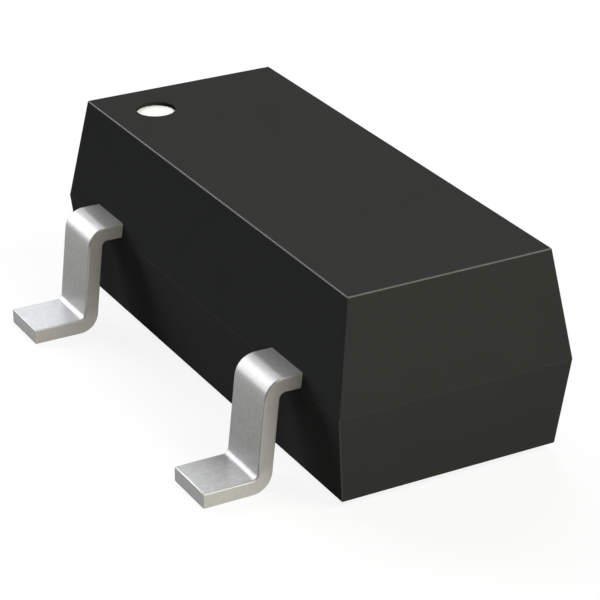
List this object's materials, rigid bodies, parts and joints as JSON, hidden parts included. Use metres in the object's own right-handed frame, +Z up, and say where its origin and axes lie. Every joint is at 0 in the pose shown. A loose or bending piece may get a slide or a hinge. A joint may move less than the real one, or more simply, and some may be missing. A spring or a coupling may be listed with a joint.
{
  "type": "sot-23 transistor",
  "caption": "Surface-mount transistor in a drafted dark epoxy body with three formed gull-wing leads, a round pin one mark, and its chip, bond wires and leadframe inside.",
  "frame": {"origin": "centre of the bounding box at the seating plane, where the three feet rest", "axes": "+X along the body from the base lead towards the emitter lead, -Y towards the two-lead side, +Z up away from the board"},
  "size_m": [0.0028, 0.0022, 0.001],
  "materials": {
    "mould_compound": "matte charcoal epoxy",
    "tinned_lead": "satin matte tin over nickel-iron alloy",
    "white_ink": "flat printed ink",
    "attach_epoxy": "cured silver-filled epoxy",
    "silicon": "polished silicon with a passivated top",
    "pad_aluminium": "evaporated aluminium",
    "gold_wire": "drawn gold wire"
  },
  "bodies": {
    "root": {"molded_body": "mould_compound", "pin_one_dot": "white_ink", "base_lead": "tinned_lead", "emitter_lead": "tinned_lead", "collector_lead": "tinned_lead", "die_attach": "attach_epoxy", "silicon_die": "silicon", "base_bond_pad": "pad_aluminium", "emitter_bond_pad": "pad_aluminium", "base_bond_wire": "gold_wire", "emitter_bond_wire": "gold_wire"}
  },
  "joints": []
}
